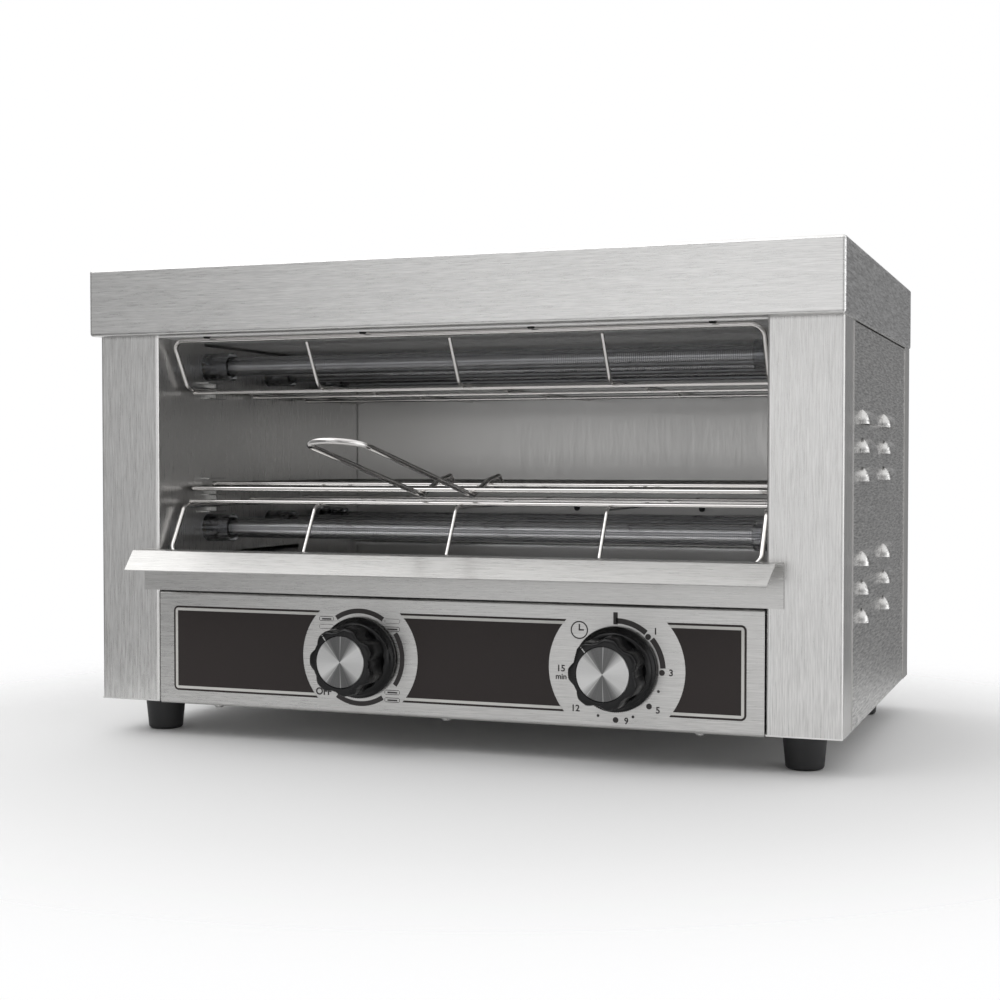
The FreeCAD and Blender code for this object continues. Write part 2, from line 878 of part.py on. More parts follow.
def make_lugs():
    """Guide lugs on the right chamber wall; each has ribs that the wires rest against."""
    rail = chamber_middle + rail_level
    low_rail = chamber_middle - rail_level
    half_lug = skin / 2
    guard_reach = guard_bar_radius + slip
    rack_reach = rack_radius + slip
    front = front_y + lug_setback
    back = front_y + lug_back_setback
    # Each lug: centre in Y, height, and the heights that its ribs reach
    lugs = [
        (front, rail + lug_outer_gap, [rail + guard_reach]),
        (front, rail - lug_inner_gap, [rail - guard_reach]),
        (front, rack_z + lug_over_rack, []),
        (front, rack_z - lug_under_rack, [rack_z - rack_reach, low_rail + guard_reach]),
        (front, low_rail - lug_outer_gap, [low_rail - guard_reach]),
        (back, rack_z - lug_under_rack, [rack_z - rack_reach]),
    ]
    solids = []
    for y, z, reaches in lugs:
        shelf = box(
            chamber_half - lug_reach,
            chamber_half,
            y - lug_length / 2,
            y + lug_length / 2,
            z - half_lug,
            z + half_lug,
        )
        parts = [shelf]
        for reach in reaches:
            low, high = min(z, reach), max(z, reach)
            parts.append(box(chamber_half - lug_rib_reach, chamber_half, y - plate, y + plate, low, high))
        solids.append(fused(parts) if len(parts) > 1 else shelf)
    return solids


def make_tray_pan():
    """Crumb tray: flat floor with a low back wall, a front wall and skirts that slide on the shelf."""
    back = wall_back - tray_back_gap
    under = tray_floor - plate
    half = chamber_half - tray_side_gap
    points = [
        (strip_back, tray_floor + tray_front_wall),
        (strip_back, under),
        (back, under),
        (back, tray_floor + tray_back_wall),
    ]
    floor = folded_sheet(points, plate, "yz", -half, half)
    clear = fold + plate
    skirt = box(half - plate, half, strip_back + clear, back - clear, under - tray_skirt, under + plate / 2)
    return fused([floor] + both_sides(skirt))


def make_tray_front():
    """Front strip of the tray, with a ledge and a sloping lip to pull it by."""
    ledge_front = lip_front + lip_run
    points = [
        (strip_back, strip_bottom),
        (strip_back, ledge_height),
        (ledge_front, ledge_height),
        (lip_front, ledge_height - lip_drop),
    ]
    sheet = folded_sheet(points, plate, "yz", -strip_half_width, strip_half_width)
    strip_front = strip_back - plate
    low = strip_bottom - plate
    high = ledge_height + plate
    past = lip_front - 2 * plate
    lip_slope = lip_taper / lip_run
    outline = [
        Vector(strip_half_width, strip_front, low),
        Vector(strip_half_width - ledge_taper, ledge_front, low),
        Vector(strip_half_width - ledge_taper - lip_slope * (ledge_front - past), past, low),
        Vector(strip_half_width + plate, past, low),
        Vector(strip_half_width + plate, strip_front, low),
    ]
    wedge = Part.Face(Part.makePolygon(outline + [outline[0]])).extrude(Vector(0, 0, high - low))
    return sheet.cut(both_sides(wedge))


def make_foot(x, y):
    """Tapered rubber foot, counterbored for its screw."""
    body = Part.makeCone(foot_bottom_radius, foot_top_radius, foot_height, Vector(x, y, -foot_height))
    sole_edge = [e for e in body.Edges if e.BoundBox.ZMax < touch - foot_height]
    body = body.makeFillet(foot_edge_radius, sole_edge)
    bore_radius = foot_screw_radius + screw_hole_gap
    seat = foot_counterbore - foot_height
    bore = rod((x, y, -foot_height), (x, y, slip), bore_radius)
    counterbore = rod((x, y, -foot_height - slip), (x, y, seat), foot_head_radius + slip)
    return body.cut([bore, counterbore])


def foot_places():
    """Centres of the four feet."""
    return [(x, y) for y in (-foot_y, foot_y) for x in (-foot_x, foot_x)]


def make_foot_screws():
    """Screws that hold the feet, the base plate and the side frames together."""
    screws = []
    seat = -foot_height + foot_counterbore
    tip = plate + skin + nut_height
    for x, y in foot_places():
        profile = [
            (0, seat - screw_head_height),
            (foot_head_radius, seat - screw_head_height),
            (foot_head_radius, seat),
            (foot_screw_radius, seat),
            (foot_screw_radius, tip),
            (0, tip),
        ]
        screws.append(turned(profile, (x, y, 0), (0, 0, 1)))
    return group(screws)


def make_foot_nuts():
    """Hexagon nuts on the foot screws."""
    nuts = []
    low = plate + skin
    corner = nut_width / math.sqrt(3)
    for x, y in foot_places():
        turns = [math.radians(60 * i) for i in range(7)]
        ring = [Vector(corner * math.cos(turn), corner * math.sin(turn), 0) for turn in turns]
        hexagon = Part.Face(Part.makePolygon(ring)).extrude(Vector(0, 0, nut_height))
        nut = hexagon.translated(Vector(x, y, low))
        nuts.append(nut.cut(rod((x, y, low - 1), (x, y, low + nut_height + 1), foot_screw_radius + touch)))
    return group(nuts)


def lobed_outline(radius, recess, pointer):
    """Outline of the grip in (x, z), with one lobe at the pointer's angle from the top."""
    pitch = 2 * math.pi / grip_lobes
    half_lobe = pitch * 0.27
    start = math.radians(pointer)
    shoulder = recess + (radius - recess) * 0.72

    def at(angle, distance):
        return Vector(distance * math.sin(angle), 0, distance * math.cos(angle))

    edges = []
    for i in range(grip_lobes):
        middle = start + i * pitch
        following = middle + pitch
        a = at(middle - half_lobe, shoulder)
        b = at(middle + half_lobe, shoulder)
        c = at(following - half_lobe, shoulder)
        edges.append(Part.Arc(a, at(middle, radius), b).toShape())
        edges.append(Part.Arc(b, at(middle + pitch / 2, recess), c).toShape())
    return Part.Face(Part.Wire(edges))


def make_knob(x, pointer):
    """Knob with a round skirt and a lobed grip, hollowed for its metal insert and shaft."""
    base = front_y - knob_gap
    face = base - knob_length
    centre = (x, base, knob_height)
    towards_user = (0, -1, 0)
    crown = [
        (0, 0),
        (skirt_radius, 0),
        (skirt_radius, skirt_edge - knob_edge),
        (skirt_radius - knob_edge, skirt_edge),
        (grip_radius - grip_draft, skirt_edge + skirt_rise),
        (0, skirt_edge + skirt_rise),
    ]
    skirt = turned(crown, centre, towards_user)
    grip = lobed_outline(grip_radius, grip_recess, pointer).extrude(Vector(0, -knob_length, 0))
    grip = grip.translated(Vector(x, base, knob_height))
    envelope = [
        (0, 0),
        (grip_radius + grip_draft, 0),
        (grip_radius - grip_draft, knob_length - knob_edge),
        (grip_radius - grip_draft - knob_edge, knob_length),
        (0, knob_length),
    ]
    grip = grip.common(turned(envelope, centre, towards_user))
    knob = fused([skirt, grip])
    pocket = rod((x, face + insert_depth, knob_height), (x, face - 1, knob_height), insert_radius + touch)
    bore = rod((x, base + 1, knob_height), (x, face + shaft_stop, knob_height), shaft_radius + touch)
    return knob.cut([pocket, bore])


def make_knob_insert(x):
    """Spun metal disc in the face of a knob, slightly coned towards its rim."""
    seat = front_y - knob_gap - knob_length + insert_depth
    profile = [
        (0, 0),
        (insert_radius, 0),
        (insert_radius, insert_depth - insert_crown),
        (insert_radius - insert_crown, insert_depth),
        (0, insert_depth),
    ]
    return turned(profile, (x, seat, knob_height), (0, -1, 0))


def make_shaft(x, depth):
    """Shaft that joins a knob to its switch or timer."""
    tip = front_y - knob_gap - knob_length + shaft_stop + touch
    return rod((x, tip, knob_height), (x, front_y + plate + depth * 0.6, knob_height), shaft_radius)


def make_bush(x):
    """Threaded bush in front of a control, through the control panel."""
    back = front_y + plate
    front_end = (x, back - plate / 2, knob_height)
    return rod(front_end, (x, back + bush_length, knob_height), bush_radius - touch)


def shaft_bore(x, depth):
    """Running bore for a control's shaft."""
    end = front_y + plate + depth * 0.6 + slip
    return rod((x, front_y - plate, knob_height), (x, end, knob_height), shaft_radius + shaft_clearance)


def make_tab(x, y, z):
    """Terminal that stands out behind a control, from just inside its back at y."""
    half = terminal_width / 2
    return box(x - half, x + half, y - terminal_root, y + terminal_length, z - plate / 2, z + plate / 2)


def make_selector_switch():
    """Rotary switch behind the control panel, with two rows of terminals."""
    width, depth, height = switch_width, switch_depth, switch_height
    x = knob_x[0]
    back = front_y + plate + touch
    low = knob_height - height / 2
    body = box(x - width / 2, x + width / 2, back, back + depth, low, low + height)
    body = body.makeFillet(fold, [e for e in body.Edges if is_along_y(e)])
    pieces = [body, make_bush(x)]
    for i in range(4):
        for level in (-height / 3, height / 3):
            pieces.append(make_tab(x + (i - 1.5) * width / 5, back + depth, knob_height + level))
    return fused(pieces).cut(shaft_bore(x, depth))


def make_timer():
    """Wind-up timer behind the control panel: a round case on a square front plate."""
    x = knob_x[1]
    back = front_y + plate + touch
    case = rod((x, back, knob_height), (x, back + timer_depth, knob_height), timer_radius)
    ear = timer_radius + 4
    ears = box(x - ear, x + ear, back, back + plate, knob_height - 8, knob_height + 8)
    pieces = [case, ears, make_bush(x)]
    for level in (-8.0, 8.0):
        pieces.append(make_tab(x, back + timer_depth, knob_height + level))
    return fused(pieces).cut(shaft_bore(x, timer_depth))


def make_gland():
    """Cable gland in the back panel, with a domed head outside and a thread inside."""
    profile = [
        (gland_bore, -gland_tail),
        (gland_thread_radius, -gland_tail),
        (gland_thread_radius, skin),
        (gland_head_radius, skin),
        (gland_head_radius, skin + gland_head_length * 0.4),
        (gland_head_radius * 0.86, skin + gland_head_length * 0.46),
        (gland_head_radius * 0.82, skin + gland_head_length * 0.8),
        (gland_head_radius * 0.62, gland_head_length),
        (gland_bore, gland_head_length),
    ]
    return turned(profile, (gland_x, wall_back, gland_height), (0, 1, 0))


def make_gland_nut():
    """Round nut that draws the gland against the back panel from inside."""
    profile = [
        (gland_thread_radius + touch, -gland_nut_length),
        (gland_head_radius, -gland_nut_length),
        (gland_head_radius, -touch),
        (gland_thread_radius + touch, -touch),
    ]
    return turned(profile, (gland_x, wall_back, gland_height), (0, 1, 0))


def make_terminal_block():
    """Terminal block for the mains lead, on the base plate."""
    length, depth, height = block_length, block_depth, block_height
    y = wall_back - block_setback
    left = gland_x - length / 2
    block = box(left, left + length, y - depth / 2, y + depth / 2, plate, plate + height)
    wells = []
    for i in range(3):
        x = gland_x + (i - 1) * length / 3
        wells.append(rod((x, y, plate + height - 6), (x, y, plate + height + 1), 4.0))
        wells.append(rod((x, y - depth, plate + height / 2), (x, y + depth, plate + height / 2), 2.0))
    return block.cut(wells)


def export(nodes):
    """Write one STEP file per node, with the floor at z = 0 and the middle of its length at y = 0."""
    os.makedirs("parts", exist_ok=True)
    shift = Vector(0, -(handle_front + gland_end) / 2, foot_height)
    for name, shape in nodes.items():
        shape.translated(shift).exportStep("parts/" + name + ".step")
    print("nodes", len(nodes), "shift", round(shift.y, 3), round(shift.z, 3))


def main():
    frame = make_side_frame()
    side_panel = make_side_panel()
    lower_frame, lower_wires = make_guard(lower_bar_setback, lower_bar_level)
    upper_frame, upper_wires = make_guard(upper_bar_setback, upper_bar_level)
    clips = make_holder_clips()
    grommets = make_grommets()
    nodes = {
        "top_cap": make_top_cap(),
        "right_side_frame": frame,
        "left_side_frame": mirrored(frame),
        "right_side_panel": side_panel,
        "left_side_panel": mirrored(side_panel),
        "back_panel": make_back_panel(),
        "base_plate": make_base_plate(),
        "tray_shelf": make_shelf(),
        "control_panel": make_control_panel(),
        "control_foil": make_foil(),
        "ceiling_reflector": make_ceiling(),
        "upper_guard_frame": upper_frame,
        "upper_guard_wires": group(upper_wires),
        "lower_guard_frame": upside_down(lower_frame),
        "lower_guard_wires": group(upside_down(wire) for wire in lower_wires),
        "rack_frame": make_rack_frame(),
        "rack_wires": group(make_rack_wires()),
        "rack_handle": make_rack_handle(),
        "crumb_tray": make_tray_pan(),
        "tray_front": make_tray_front(),
        "upper_heating_coils": make_heating_coils(tube_level),
        "lower_heating_coils": make_heating_coils(-tube_level),
        "selector_switch": make_selector_switch(),
        "timer": make_timer(),
        "cable_gland": make_gland(),
        "gland_nut": make_gland_nut(),
        "terminal_block": make_terminal_block(),
        "foot_screws": make_foot_screws(),
        "foot_nuts": make_foot_nuts(),
        "holder_clips": group(clips + [mirrored(clip) for clip in clips]),
        "lead_grommets": group(grommets + [mirrored(grommet) for grommet in grommets]),
    }
    pieces = {
        "guide_lugs": make_lugs(),
        "tube_holders": make_holders(),
        "bus_bars": make_bus_bars(),
        "tube_leads": make_leads(),
    }
    for name, solids in pieces.items():
        nodes["right_" + name] = group(solids)
        nodes["left_" + name] = group(mirrored(solid) for solid in solids)
    places = ["front", "middle", "back"]
    for row, level in (("lower", -tube_level), ("upper", tube_level)):
        for i, y in enumerate(tube_ys):
            place = places[i] if tube_count == len(places) else str(i + 1)
            nodes[row + "_" + place + "_tube"] = make_quartz_tube(y, chamber_middle + level)
    for (x, y), name in zip(foot_places(), ["front_left", "front_right", "back_left", "back_right"]):
        nodes[name + "_foot"] = make_foot(x, y)
    control_depths = (switch_depth, timer_depth)
    for name, x, pointer, depth in zip(("selector", "timer"), knob_x, knob_pointer, control_depths):
        nodes[name + "_knob"] = make_knob(x, pointer)
        nodes[name + "_insert"] = make_knob_insert(x)
        nodes[name + "_shaft"] = make_shaft(x, depth)
    ceiling_screws = []
    for x in ceiling_screw_xs:
        head_face = (x, ceiling_screw_y, ceiling_z)
        ceiling_screws.append(pan_screw(head_face, (0, 0, 1), ceiling_head_radius, ceiling_head_height))
    panel_screws = [pan_screw((x, panel_screw_y, -control_drop), (0, 0, 1)) for x in panel_screw_xs]
    back_screws = []
    cap_screws = []
    for x in (-1, 1):
        back_screws += [pan_screw((x * back_screw_x, back_y, z), (0, -1, 0)) for z in back_screw_zs]
        for y in (-foot_y, foot_y):
            cap_screws.append(pan_screw((x * cap_screw_x, y, body_height - skin), (0, 0, 1)))
    nodes["ceiling_screws"] = group(ceiling_screws)
    nodes["panel_screws"] = group(panel_screws)
    nodes["back_screws"] = group(back_screws)
    nodes["cap_screws"] = group(cap_screws)
    export(nodes)


main()
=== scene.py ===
"""Looks of the toaster: materials, knobs with lobes, printed dials, floor, studio and camera.

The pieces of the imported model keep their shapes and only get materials. The two knobs are replaced by
finer ones, which ride on the same bodies. Lengths are in metres where nothing else is said.
"""
import math

import bmesh
import bpy
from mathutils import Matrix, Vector


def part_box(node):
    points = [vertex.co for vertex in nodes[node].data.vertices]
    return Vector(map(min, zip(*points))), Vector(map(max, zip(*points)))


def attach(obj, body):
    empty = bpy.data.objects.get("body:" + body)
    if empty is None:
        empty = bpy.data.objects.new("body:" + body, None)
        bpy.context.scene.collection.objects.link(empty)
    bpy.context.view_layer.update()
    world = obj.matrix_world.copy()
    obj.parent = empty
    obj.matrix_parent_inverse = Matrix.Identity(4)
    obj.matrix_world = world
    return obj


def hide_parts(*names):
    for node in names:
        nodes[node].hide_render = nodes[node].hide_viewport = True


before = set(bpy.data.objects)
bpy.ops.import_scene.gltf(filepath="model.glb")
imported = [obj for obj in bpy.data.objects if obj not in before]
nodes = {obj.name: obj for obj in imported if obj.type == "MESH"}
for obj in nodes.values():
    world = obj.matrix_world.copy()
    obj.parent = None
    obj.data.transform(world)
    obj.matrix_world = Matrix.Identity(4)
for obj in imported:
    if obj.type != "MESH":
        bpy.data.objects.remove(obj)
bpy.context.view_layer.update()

# Places are measured on the cabinet: front to back from the middle of its cap, and heights from its
# underside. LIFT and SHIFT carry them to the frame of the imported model.
LIFT = 0.021
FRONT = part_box("control_panel")[0].y
SHIFT = FRONT + 0.1355
KNOB_HEIGHT = 0.0319 + LIFT
KNOB_X = {"selector": -0.0508, "timer": 0.1018}
# Where each knob points, in degrees clockwise from the top
POINTER = {"selector": -36.6, "timer": -40.2}


def srgb(value):
    """Linear value of an 8-bit display value."""
    v = value / 255.0
    return v / 12.92 if v <= 0.04045 else ((v + 0.055) / 1.055) ** 2.4


def rgb(r, g, b):
    """Linear colour from 8-bit display values."""
    return (srgb(r), srgb(g), srgb(b), 1.0)


def scaled(tone, factor):
    """A colour made darker or lighter."""
    return tuple(min(1.0, c * factor) for c in tone[:3]) + (1.0,)


class Nodes:
    """Short helper round the node tree of a material or a world."""

    def __init__(self, owner):
        owner.use_nodes = True
        self.owner = owner
        self.tree = owner.node_tree

    def add(self, kind, inputs=None, **settings):
        """New node with its settings and inputs."""
        node = self.tree.nodes.new(kind)
        for key, value in settings.items():
            setattr(node, key, value)
        for key, value in (inputs or {}).items():
            self.put(node, key, value)
        return node

    def put(self, node, key, value):
        """Give one input of a node a link or a plain value."""
        if isinstance(value, bpy.types.NodeSocket):
            self.tree.links.new(value, node.inputs[key])
        else:
            node.inputs[key].default_value = value

    def ramp(self, value, low, high, start=0.0, end=1.0, easing="LINEAR"):
        """Map a value between start and end to low to high."""
        ends = {"From Min": start, "From Max": end, "To Min": low, "To Max": high}
        node = self.add("ShaderNodeMapRange", ends, interpolation_type=easing)
        self.put(node, "Value", value)
        return node.outputs["Result"]

    def mix(self, factor, a, b):
        """Blend of two colours."""
        node = self.add("ShaderNodeMix", data_type="RGBA")
        self.put(node, 0, factor)
        self.put(node, 6, a)
        self.put(node, 7, b)
        return node.outputs[2]

    def math(self, operation, a, b=0.0):
        """Arithmetic on one or two numbers."""
        return self.add("ShaderNodeMath", {0: a, 1: b}, operation=operation).outputs[0]

    def split(self, vector):
        """X, Y and Z of a vector."""
        return self.add("ShaderNodeSeparateXYZ", {0: vector}).outputs


class Surface(Nodes):
    """Node tree of a new material round its Principled shader."""

    def __init__(self, name):
        super().__init__(bpy.data.materials.new(name))
        self.material = self.owner
        self.shader = self.tree.nodes["Principled BSDF"]
        self.output = self.tree.nodes["Material Output"]

    def set(self, **values):
        """Give inputs of the shader a link or a plain value."""
        for key, value in values.items():
            self.put(self.shader, key.replace("_", " "), value)

    def position(self):
        """Place on the object."""
        return self.add("ShaderNodeTexCoord").outputs["Object"]

    def stretched(self, scale, offset=(0, 0, 0)):
        """Place on the object, with a scale and an offset along each axis."""
        mapping = self.add("ShaderNodeMapping", {"Scale": scale, "Location": offset})
        self.put(mapping, "Vector", self.position())
        return mapping.outputs["Vector"]

    def noise(self, vector, scale=1.0, detail=4.0, roughness=0.6):
        """Noise of 0 to 1."""
        node = self.add("ShaderNodeTexNoise", {"Scale": scale, "Detail": detail, "Roughness": roughness})
        self.put(node, "Vector", vector)
        return node.outputs["Fac"]

    def noise_along(self, value, scale, detail, roughness=0.5):
        """Noise of 0 to 1 along a single value."""
        settings = {"W": value, "Scale": scale, "Detail": detail, "Roughness": roughness}
        return self.add("ShaderNodeTexNoise", settings, noise_dimensions="1D").outputs["Fac"]

    def vector(self, operation, a, b=(0.0, 0.0, 0.0)):
        """Arithmetic on one or two vectors."""
        node = self.add("ShaderNodeVectorMath", {0: a, 1: b}, operation=operation)
        return node.outputs["Value"] if operation == "LENGTH" else node.outputs["Vector"]

    def bump(self, height, strength, distance=0.00005):
        """Fine relief."""
        settings = {"Strength": strength, "Distance": distance, "Height": height}
        self.set(Normal=self.add("ShaderNodeBump", settings).outputs["Normal"])


# Brushed stainless steel. Each grain's direction is tilted a little, so that it never is the normal of a
# flat face, where it would leave the direction of the shine undefined.
AXES = {"x": (1.0, 0.06, 0.03), "y": (0.05, 1.0, 0.03), "z": (0.05, 0.03, 1.0)}
STEEL = (0.64, 0.635, 0.625, 1.0)
DULL_STEEL = (0.55, 0.545, 0.535, 1.0)
# Frequencies of the noise along and across the grain, and along x, y and z for the speckle
FINE_GRAIN = (85.0, 2500.0)
FAINT_GRAIN = (25.0, 1200.0)
SPECKLE = (1100.0, 90.0, 1100.0)
SPECKLE_CONTRAST = 0.5
# How much the roughness varies with the smudges and with the scratches
SMUDGE_ROUGHNESS = 0.015
SCRATCH_ROUGHNESS = 0.04
# Part of a face's normal that points left or right, from which the face counts as a side
SIDEWAYS = 0.6
# Half the width between the chamber's walls, with their inner faces
CHAMBER_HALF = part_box("ceiling_reflector")[1].x + 0.002


def brushed(name, grain, tone=STEEL, roughness=0.3, contrast=0.07, bump=0.25, streak=0.55,
            turned=False, inside=1.0, metallic=1.0):
    """Brushed sheet: fine scratches along one axis, which spread the shine across them.

    Where turned is set, faces that look to the left or right have coarser scratches that run to the
    back. Where the sheet lines the chamber its colour is painted lighter by the factor inside, without its
    grain: painted light in the chamber."""
    m = Surface(name)

    def grain_scale(along, across):
        return tuple(along if axis == grain else across for axis in "xyz")

    fine = m.noise(m.stretched(grain_scale(*FINE_GRAIN)), 1.0, 2.0, 0.6)
    faint = m.noise(m.stretched(grain_scale(*FAINT_GRAIN), (3.1, 1.7, 5.3)), 1.0, 1.0, 0.5)
    smudge = m.noise(m.position(), 7.0, 3.0, 0.5)
    scratches = m.math("ADD", m.math("MULTIPLY", fine, 0.7), m.math("MULTIPLY", faint, 0.3))
    normal = m.add("ShaderNodeNewGeometry").outputs["Normal"]
    darker, lighter = scaled(tone, 1 - contrast), scaled(tone, 1 + contrast)
    colour = m.mix(m.ramp(scratches, 0, 1, 0.35, 0.65), darker, lighter)
    if turned:
        sideways = m.math("GREATER_THAN", m.math("ABSOLUTE", m.split(normal)["X"]), SIDEWAYS)
        coarse = m.noise(m.stretched(SPECKLE), 1.0, 2.0, 0.75)
        darker, lighter = scaled(tone, 1 - SPECKLE_CONTRAST), scaled(tone, 1 + SPECKLE_CONTRAST)
        speckled = m.mix(m.ramp(coarse, 0, 1, 0.32, 0.68), darker, lighter)
        colour = m.mix(sideways, colour, speckled)
    # Painted light: a flat, lighter colour where the sheet lines the chamber
    if inside != 1.0:
        off_middle = m.math("ABSOLUTE", m.split(m.position())["X"])
        colour = m.mix(m.math("LESS_THAN", off_middle, CHAMBER_HALF), colour, scaled(tone, inside))
    cloudy = m.ramp(smudge, roughness - SMUDGE_ROUGHNESS, roughness + SMUDGE_ROUGHNESS, 0.3, 0.7)
    rough = m.math("ADD", cloudy, m.ramp(scratches, -SCRATCH_ROUGHNESS, SCRATCH_ROUGHNESS, 0.35, 0.65))
    tangent = m.vector("CROSS_PRODUCT", normal, AXES[grain])
    m.set(Base_Color=colour, Metallic=metallic, Roughness=rough, Anisotropic=streak, Tangent=tangent)
    m.bump(scratches, bump)
    return m.material


def plain_metal(name, tone, roughness):
    """Drawn, plated or cast metal with a faint mottle."""
    m = Surface(name)
    mottle = m.noise(m.position(), 400.0, 3.0, 0.6)
    m.set(Base_Color=m.mix(mottle, scaled(tone, 0.92), tone), Metallic=1.0)
    m.set(Roughness=m.ramp(mottle, roughness * 0.8, roughness * 1.2, 0.3, 0.7))
    m.bump(mottle, 0.02)
    return m.material


def moulded(name, tone, roughness, bump=0.08, spread=0.2, specular=0.5):
    """Moulded plastic, rubber, ceramic or ink with a fine grain, its colour lighter in places by spread."""
    m = Surface(name)
    grain = m.noise(m.position(), 1500.0, 2.0, 0.5)
    cloud = m.noise(m.position(), 40.0, 3.0, 0.5)
    m.set(Base_Color=m.mix(cloud, tone, scaled(tone, 1 + spread)), Specular_IOR_Level=specular)
    m.set(Roughness=m.ramp(cloud, roughness - 0.04, roughness + 0.04, 0.3, 0.7))
    m.bump(grain, bump)
    return m.material


def quartz():
    """Clear quartz glass with faint streaks drawn along the tube."""
    m = Surface("quartz_tube")
    streaks = m.noise(m.stretched((9.0, 420.0, 420.0)), 1.0, 3.0, 0.6)
    m.set(Base_Color=m.mix(streaks, rgb(196, 197, 200), rgb(238, 239, 241)))
    m.set(Roughness=m.ramp(streaks, 0.02, 0.16, 0.35, 0.7), Transmission_Weight=1.0, IOR=1.46)
    m.bump(streaks, 0.15)
    return m.material


COIL_PITCH = 0.0012


def heating_coil():
    """Turns of wire along the tube, with painted highlight on their crests and painted shade between them.
    """
    m = Surface("heating_wire")
    turn = m.math("SINE", m.math("MULTIPLY", m.split(m.position())["X"], 2 * math.pi / COIL_PITCH))
    mottle = m.noise(m.position(), 400.0, 2.0, 0.5)
    painted_crest_highlight = m.mix(mottle, (0.66, 0.65, 0.64, 1), (0.8, 0.79, 0.78, 1))
    # Painted shade between the turns and painted highlight on their crests
    m.set(Base_Color=m.mix(m.ramp(turn, 0, 1, -0.5, 0.6), (0.3, 0.295, 0.29, 1), painted_crest_highlight))
    m.set(Metallic=1.0, Roughness=0.25)
    m.bump(turn, 0.2, 0.0002)
    return m.material


# Angles of the thin bright streaks of painted reflection on a spun disc, and their half width: degrees
# clockwise from the top, radians
DISC_PAINTED_STREAKS = (-38.0, 2.0, 178.0, -143.0)
DISC_PAINTED_STREAK_HALF = 0.03


def spun(name, x, z):
    """Spun disc that faces the user: fine circles round its centre and faint rays, a shine turned round its
    centre, and painted reflection in its colour: two bright and two dark sectors and thin bright streaks.
    """
    m = Surface(name)
    offset = m.vector("SUBTRACT", m.position(), (x, 0.0, z))
    flat = m.vector("MULTIPLY", offset, (1.0, 0.0, 1.0))
    across = m.split(flat)
    angle = m.math("ARCTAN2", across["X"], across["Z"])
    grooves = m.noise_along(m.vector("LENGTH", flat), 7000.0, 3.0)
    rays = m.noise_along(angle, 26.0, 2.0, 0.7)
    pattern = m.math("ADD", m.math("MULTIPLY", grooves, 0.45), m.math("MULTIPLY", rays, 0.55))
    # Painted reflection: two bright and two dark sectors, and the thin bright streaks
    painted_sector_shine = m.ramp(m.math("ABSOLUTE", m.math("COSINE", angle)), 1.0, 0.0, 0.58, 0.9)
    level = m.math("ADD", painted_sector_shine, m.ramp(pattern, -0.12, 0.12, 0.35, 0.65))
    for degrees in DISC_PAINTED_STREAKS:
        gap = m.math("ABSOLUTE", m.math("SUBTRACT", angle, math.radians(degrees)))
        level = m.math("ADD", level, m.ramp(gap, 0.55, 0.0, 0.0, DISC_PAINTED_STREAK_HALF))
    level.node.use_clamp = True
    # The level holds the grooves, the rays and the painted reflection, and sets the colour
    m.set(Base_Color=m.mix(level, (0.12, 0.12, 0.12, 1), (0.6, 0.6, 0.595, 1)))
    m.set(Metallic=1.0, Roughness=0.3, Anisotropic=0.85, Tangent=m.vector("NORMALIZE", flat))
    m.bump(grooves, 0.1, 0.00003)
    return m.material


# The foil's corners, and the light line inside its edge: its two sides and how soft they are
FOIL_CORNER = 0.003
LINE_OUTER, LINE_INNER, LINE_SOFTNESS = -0.0011, -0.0028, 0.0001


def foil():
    """Dark foil with a light line just inside its edge, which turns round the corners."""
    m = Surface("dark_foil")
    low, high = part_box("control_foil")
    middle, half = (high + low) / 2, (high - low) / 2
    across = m.split(m.vector("SUBTRACT", m.position(), (middle.x, 0, middle.z)))
    past_x = m.math("SUBTRACT", m.math("ABSOLUTE", across["X"]), half.x - FOIL_CORNER)
    past_z = m.math("SUBTRACT", m.math("ABSOLUTE", across["Z"]), half.z - FOIL_CORNER)
    outer_x, outer_z = m.math("MAXIMUM", past_x), m.math("MAXIMUM", past_z)
    rounded = m.math("SQRT", m.math("ADD", m.math("POWER", outer_x, 2.0), m.math("POWER", outer_z, 2.0)))
    inner = m.math("MINIMUM", m.math("MAXIMUM", past_x, past_z), 0.0)
    # Distance past the edge, below 0 inside it
    edge = m.math("SUBTRACT", m.math("ADD", rounded, inner), FOIL_CORNER)
    outer_side = m.ramp(edge, 1.0, 0.0, LINE_OUTER - LINE_SOFTNESS, LINE_OUTER)
    inner_side = m.ramp(edge, 0.0, 1.0, LINE_INNER, LINE_INNER + LINE_SOFTNESS)
    line = m.math("MULTIPLY", outer_side, inner_side)
    speckle = m.noise(m.position(), 2600.0, 2.0, 0.5)
    dark = m.mix(speckle, rgb(38, 32, 31), rgb(50, 44, 43))
    m.set(Base_Color=m.mix(line, dark, rgb(205, 204, 200)), Roughness=m.ramp(line, 0.5, 0.32))
    m.set(Specular_IOR_Level=0.3)
    m.bump(speckle, 0.05)
    return m.material


steel_x = brushed("steel_grain_across", "x", (0.75, 0.745, 0.735, 1.0), contrast=0.15, turned=True)
steel_panel = brushed("steel_grain_across_strong", "x", DULL_STEEL, contrast=0.13, bump=0.3, turned=True)
steel_y = brushed("steel_grain_back", "y", bump=0.4, roughness=0.32, turned=True)
